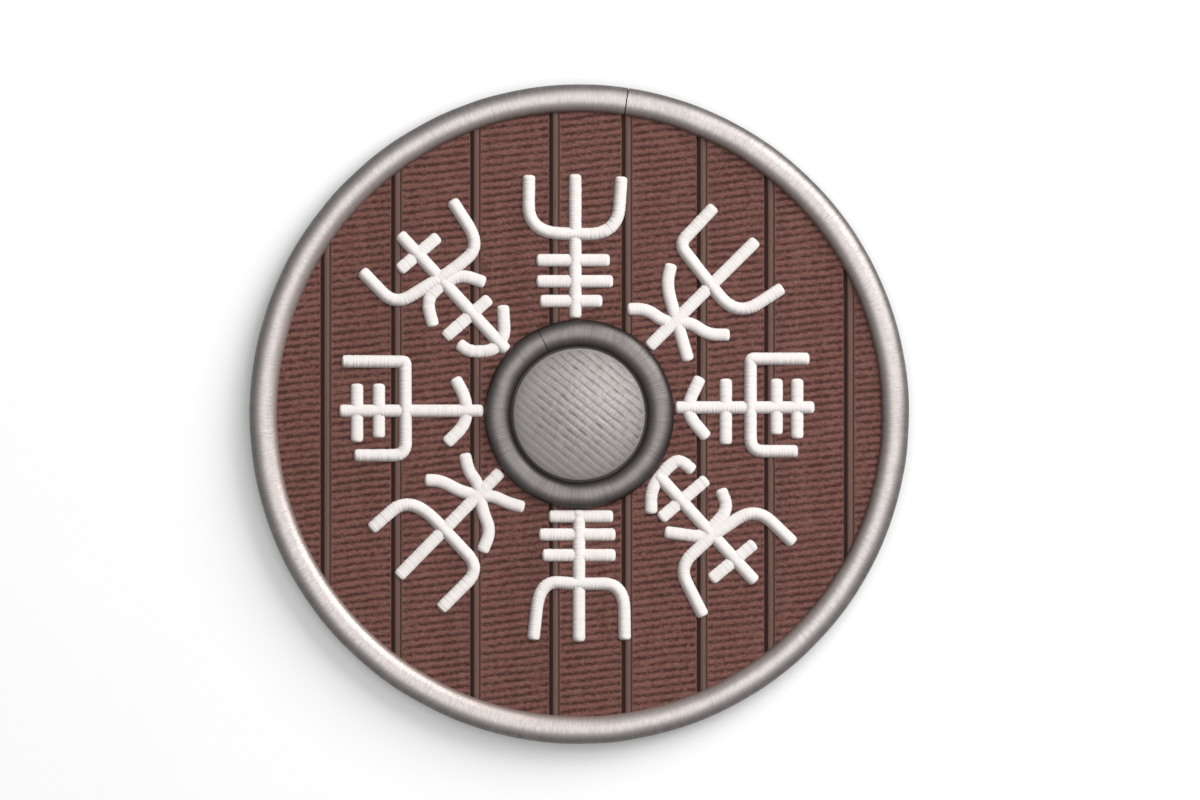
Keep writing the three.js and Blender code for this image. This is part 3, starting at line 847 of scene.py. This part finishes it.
def stroke_profile(height):
    """A closed section of a stroke, as a curve for others to follow."""
    steps = stroke_sides - 3
    half = stroke_width / 2
    curve = bpy.data.curves.new("section", "CURVE")
    curve.dimensions = "2D"
    line = curve.splines.new("POLY")
    places = [(half * math.cos(math.pi * step / steps), height * math.sin(math.pi * step / steps))
              for step in range(steps + 1)]
    places += [(-half, -stroke_foot), (half, -stroke_foot)]
    line.points.add(len(places) - 1)
    for point, (x, y) in zip(line.points, places):
        point.co = (x, y, 0, 1)
    line.use_cyclic_u = True
    section = bpy.data.objects.new("section", curve)
    bpy.context.collection.objects.link(section)
    return section


def brush_share(index, seed):
    """How deep the brush has marked one section of a stroke, from about 0 to 1."""
    rough = noise.noise(Vector((index * 0.83, seed, 0)))
    swell = noise.noise(Vector((index * 0.11, seed, 4)))
    return 0.5 + 0.28 * math.sin(index * 2.2 + 3 * swell) + 0.75 * rough


def lay_stroke(corners, turn, height):
    """One stroke as a closed mesh, eased at both ends."""
    seed = turn + height * 900
    section = stroke_profile(height)
    route = even_steps(stroke_route(corners, turn), brush_step)
    curve = bpy.data.curves.new("stroke", "CURVE")
    curve.dimensions = "3D"
    curve.twist_mode = "Z_UP"
    curve.bevel_mode = "OBJECT"
    curve.bevel_object = section
    curve.use_fill_caps = True
    line = curve.splines.new("POLY")
    line.points.add(len(route) - 1)
    travelled = [0.0]
    for here, there in zip(route, route[1:]):
        travelled.append(travelled[-1] + (there - here).length)
    for index, (point, place, gone) in enumerate(zip(line.points, route, travelled)):
        to_end = min(gone, travelled[-1] - gone)
        point.co = (*place, 1)
        eased = min(to_end / stroke_end, 1)
        ripple = brush_mark * (0.5 - brush_share(index, seed))
        point.radius = 0.5 + 0.5 * math.sqrt(eased * (2 - eased)) + ripple
    stroke = bpy.data.objects.new("stroke", curve)
    bpy.context.collection.objects.link(stroke)
    only(stroke)
    bpy.ops.object.convert(target="MESH")
    remove(section)
    laid = bpy.context.object
    note(laid, "mark", [brush_share(index // stroke_sides, seed) for index in range(len(laid.data.vertices))])
    bpy.ops.object.mode_set(mode="EDIT")
    bpy.ops.mesh.select_all(action="SELECT")
    bpy.ops.mesh.remove_doubles(threshold=0.00001)
    turn_outwards()
    return laid


def white_gesso():
    """Chalky white, with painted shade where it meets the boards and on the side away from the key light."""
    material, nodes, shader = new_material("white gesso")
    here = nodes.add("TexCoord").outputs["Object"]
    height = nodes.height(here)
    grit = nodes.noise(here, 900.0, 3.0, 0.6)
    clouds = nodes.noise(here, 90.0, 3.0, 0.55)
    colour = nodes.mix(nodes.fade(clouds, 0.35, 0.7), (0.83, 0.785, 0.765, 1), (0.76, 0.715, 0.695, 1))
    marked = nodes.math("MULTIPLY", nodes.attribute("mark"), 0.16)
    colour = nodes.mix(marked, colour, (0.50, 0.455, 0.435, 1))
    # painted shade on the side of each stroke that faces away from the key light
    painted_side_shade = nodes.fade(facing(nodes, away_from_key), 0.02, 0.40, 0.0, 0.9)
    colour = nodes.mix(painted_side_shade, colour, (0.31, 0.272, 0.262, 1))
    # painted shade: darker at the foot of each stroke, where it meets the boards
    low = nodes.fade(height, face_z + 0.0002, face_z + 0.0014, 1.0, 0.0)
    colour = nodes.mix(nodes.math("MULTIPLY", low, 0.8), colour, (0.27, 0.23, 0.215, 1))
    roughness = nodes.fade(grit, 0.3, 0.7, 0.6, 0.8)
    dress(nodes, shader, colour, roughness, nodes.bump(grit, 0.0003, 0.5))
    shader.inputs["Specular IOR Level"].default_value = 0.3
    return material


gesso = white_gesso()
for order, (name, strokes) in enumerate(staves.items()):
    turn = -math.pi / 4 * order
    laid = [lay_stroke(strokes["stem"], turn, stem_height), lay_stroke(strokes["fork"], turn, fork_height)]
    laid += [lay_stroke(bar, turn, bar_height) for bar in strokes["bars"]]
    stave = laid[0]
    for other in laid[1:]:
        cut(stave, other, "UNION")
        remove(other)
    hand_over(stave, "brushed_" + name, gesso, [name], 45)

# ---------------------------------------------------------------- battens and grip
# Two battens and the grip bar cross the back of the boards and hold them together. They are
# riven, planed and oiled. The grip is one bar, narrowed and rounded where the hand holds it.


def oiled_wood():
    """Plain brown wood for the back, with its grain along X."""
    material, nodes, shader = new_material("oiled wood")
    here = nodes.add("TexCoord").outputs["Object"]
    along = nodes.stretch(here, (1, 1, 1), rotation=(0, 0, math.pi / 2))
    figure, streaks, pores = grain_at(nodes, along, 0.4)
    colour = nodes.mix(nodes.fade(figure, 0.3, 0.7), (0.20, 0.105, 0.060, 1), (0.29, 0.165, 0.098, 1))
    colour = nodes.mix(nodes.fade(streaks, 0.35, 0.7), colour, (0.15, 0.075, 0.042, 1))
    colour = nodes.mix(nodes.math("MULTIPLY", pores, 0.4), colour, (0.05, 0.024, 0.014, 1))
    roughness = nodes.fade(streaks, 0.3, 0.7, 0.5, 0.68)
    dress(nodes, shader, colour, roughness, nodes.bump(streaks, 0.0005, 0.6))
    return material


timber_end_slope = 0.012  # the length of the slope at each end
timber_end_height = 0.008  # of a timber at the end of its slope
timber_sides = 32
timber_step = 0.004  # between two sections of a timber
timber_square, handle_square = 9, 2.6  # the power of each section: 2 is an oval, and more is squarer
handle_half = 0.064  # from the middle of the grip to its neck
handle_neck = 0.026  # over which it widens again
handle_width = 0.030
pit_room = 0.0004  # round the head of a nail
pit_depth = 0.0025  # from the face of the head up


def timber(name, section_at):
    """A bar along X: a circle swept along it, with each ring then shaped to its section."""
    low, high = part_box(name)
    length = high.x - low.x
    bpy.ops.mesh.primitive_circle_add(vertices=timber_sides, radius=1, location=(low.x, 0, 0),
                                      rotation=(0, math.pi / 2, 0))
    bar = bpy.context.object
    settle(bar)
    draw_out(bar, "X", length, round(length / timber_step))
    bpy.ops.object.mode_set(mode="EDIT")
    for end in (low.x, high.x):
        bpy.ops.mesh.select_all(action="DESELECT")
        bpy.ops.object.mode_set(mode="OBJECT")
        for vertex in bar.data.vertices:
            vertex.select = abs(vertex.co.x - end) < 0.0001
        bpy.ops.object.mode_set(mode="EDIT")
        bpy.ops.mesh.edge_face_add()
    turn_outwards()
    middle_y = (low.y + high.y) / 2
    for vertex in bar.data.vertices:
        x, y, z = vertex.co
        half_width, bottom, top, square = section_at(x, low, high)
        turn = math.atan2(z, y)
        across = math.copysign(abs(math.cos(turn)) ** (2 / square), math.cos(turn))
        upright = math.copysign(abs(math.sin(turn)) ** (2 / square), math.sin(turn))
        wave = 0.0004 * noise.noise(Vector((x * 9, y, 3)))
        height = (top + bottom) / 2 + (top - bottom) / 2 * upright
        vertex.co = (x, middle_y + half_width * across + wave, height)
    return bar


def end_lift(x, end):
    """How far the underside rises at x, where it slopes off to the end of a timber."""
    return max(timber_end_slope - (end - abs(x)), 0) / timber_end_slope * (back_z - timber_end_height)


def batten_section(x, low, high):
    """A batten's section at x, as (half its width, its bottom, its top, how square it is)."""
    return (high.y - low.y) / 2, end_lift(x, high.x), back_z, timber_square


def grip_section(x, low, high):
    """The grip bar's section at x, in the same way, with the handle across the hand hole."""
    neck = 1 - smooth_step(abs(x), handle_half, handle_half + handle_neck)
    rise = 1 - smooth_step(abs(x), handle_half - timber_end_slope, handle_half)
    half = (high.y - low.y) / 2
    width = half + (handle_width / 2 - half) * neck
    square = timber_square - (timber_square - handle_square) * neck
    return width, end_lift(x, high.x), back_z + (high.z - back_z) * rise, square


def nail_pit(name):
    """The cutter for the pit that a nail's head sits in."""
    low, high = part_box(name)
    middle = centre_of(name)
    radius = (high.x - low.x) / 2 + pit_room
    top = low.z + pit_depth
    bpy.ops.mesh.primitive_cylinder_add(vertices=24, radius=radius, depth=top + cutter_reach,
                                        location=(middle.x, middle.y, (top - cutter_reach) / 2))
    return bpy.context.object


oiled = oiled_wood()
timbers = {"batten_upper": batten_section, "batten_lower": batten_section, "grip": grip_section}
nail_counts = {"batten_upper": 7, "batten_lower": 7, "grip": 8}
nail_names = {name: [f"nail_{name}_{number}" for number in range(1, nails + 1)]
              for name, nails in nail_counts.items()}
for name, section_at in timbers.items():
    bar = timber(name, section_at)
    for nail_name in nail_names[name]:
        pit = nail_pit(nail_name)
        cut(bar, pit, "DIFFERENCE")
        remove(pit)
    hand_over(bar, "oiled_" + name, oiled, [name], 40)

# ---------------------------------------------------------------- nails
# Wrought iron nails hold the timbers, one in each board that a timber crosses. Their heads are
# sunk just below the wood and drawn up by the hammer, and their shanks taper to a point.

nail_head = 0.0012  # the thickness of a head's rim
nail_rim = 0.0018  # from the low end of a nail to the middle of that rim
nail_dents = 0.00025
nail_dents_top = 0.003
head_steps = [(0.72, -0.0007), (0.35, -0.0004)]  # each a size and a rise from the step before
shank_steps = [(0.34, 0.0001), (1.0, 0.0135), (0.6, 0.004)]


def wrought_nail():
    """One nail over the origin, its head down."""
    low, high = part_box("nail_grip_1")
    radius = (high.x - low.x) / 2
    bpy.ops.mesh.primitive_cylinder_add(vertices=12, radius=radius, depth=nail_head,
                                        location=(0, 0, low.z + nail_rim))
    nail = bpy.context.object
    settle(nail)
    bpy.ops.object.mode_set(mode="EDIT")
    bpy.ops.mesh.select_mode(type="FACE")
    for end, steps in ((-1, head_steps), (1, shank_steps)):
        bpy.ops.mesh.select_all(action="DESELECT")
        bpy.ops.object.mode_set(mode="OBJECT")
        for face in nail.data.polygons:
            face.select = face.normal.z * end > 0.9
        bpy.ops.object.mode_set(mode="EDIT")
        for size, rise in steps:
            bpy.ops.mesh.extrude_region_move(TRANSFORM_OT_translate={"value": (0, 0, rise)})
            bpy.ops.transform.resize(value=(size, size, 1), center_override=(0, 0, 0))
    bpy.ops.object.mode_set(mode="OBJECT")
    return nail


nail = wrought_nail()
for order, name in enumerate(sum(nail_names.values(), [])):
    middle = centre_of(name)
    copy = moved_copy(nail, (middle.x, middle.y, 0))
    copy.rotation_euler.z = order * 1.3
    settle(copy)
    for vertex in copy.data.vertices:
        if vertex.co.z < nail_dents_top:
            vertex.co.z += nail_dents * noise.noise(vertex.co * 400)
    hand_over(copy, "wrought_" + name, iron, [name], 25)
remove(nail)

# ---------------------------------------------------------------- floor, lights and camera
# The shield lies on a plain pale floor. A soft key light comes from the upper right, with a
# broad soft light overhead, and the camera looks straight down.


def pale_floor():
    """A matt, nearly white floor, with a faint cloudiness."""
    material, nodes, shader = new_material("pale floor")
    here = nodes.add("TexCoord").outputs["Object"]
    clouds = nodes.noise(here, 3.0, 2.0, 0.5)
    colour = nodes.mix(clouds, (0.90, 0.90, 0.90, 1), (0.93, 0.93, 0.93, 1))
    nodes.tree.links.new(colour, shader.inputs["Base Color"])
    shader.inputs["Roughness"].default_value = 0.9
    return material


bpy.ops.mesh.primitive_plane_add(size=12, location=(0, 0, cad_low.z))
floor = bpy.context.object
floor.name = "floor"
floor.data.materials.append(pale_floor())


def soft_light(name, place, size, power):
    """A square light that points from its place at the middle of the shield."""
    light = bpy.data.lights.new(name, "AREA")
    light.size = size
    light.energy = power
    lamp = bpy.data.objects.new(name, light)
    bpy.context.collection.objects.link(lamp)
    lamp.location = place
    lamp.rotation_euler = (-Vector(place)).to_track_quat("-Z", "Y").to_euler()
    lamp.visible_camera = False


soft_light("key light", (3.2, 2.9, 3.3), 4.0, 275)
soft_light("overhead light", (0, 0, 6.0), 5.0, 145)

world = bpy.data.worlds.new("studio")
world.use_nodes = True
world.node_tree.nodes["Background"].inputs["Color"].default_value = (1, 1, 1, 1)
world.node_tree.nodes["Background"].inputs["Strength"].default_value = 0.36
bpy.context.scene.world = world

camera_aim = Vector((0.0251, 0.0171))
camera_height = 8.08  # above the boards, for a long lens
camera_data = bpy.data.cameras.new("camera")
camera_data.lens = 200
camera_data.sensor_width = 36
camera_data.clip_end = 50
camera = bpy.data.objects.new("camera", camera_data)
bpy.context.collection.objects.link(camera)
camera.location = (camera_aim.x, camera_aim.y, face_z + camera_height)
bpy.context.scene.camera = camera
bpy.context.scene.view_settings.view_transform = "Standard"
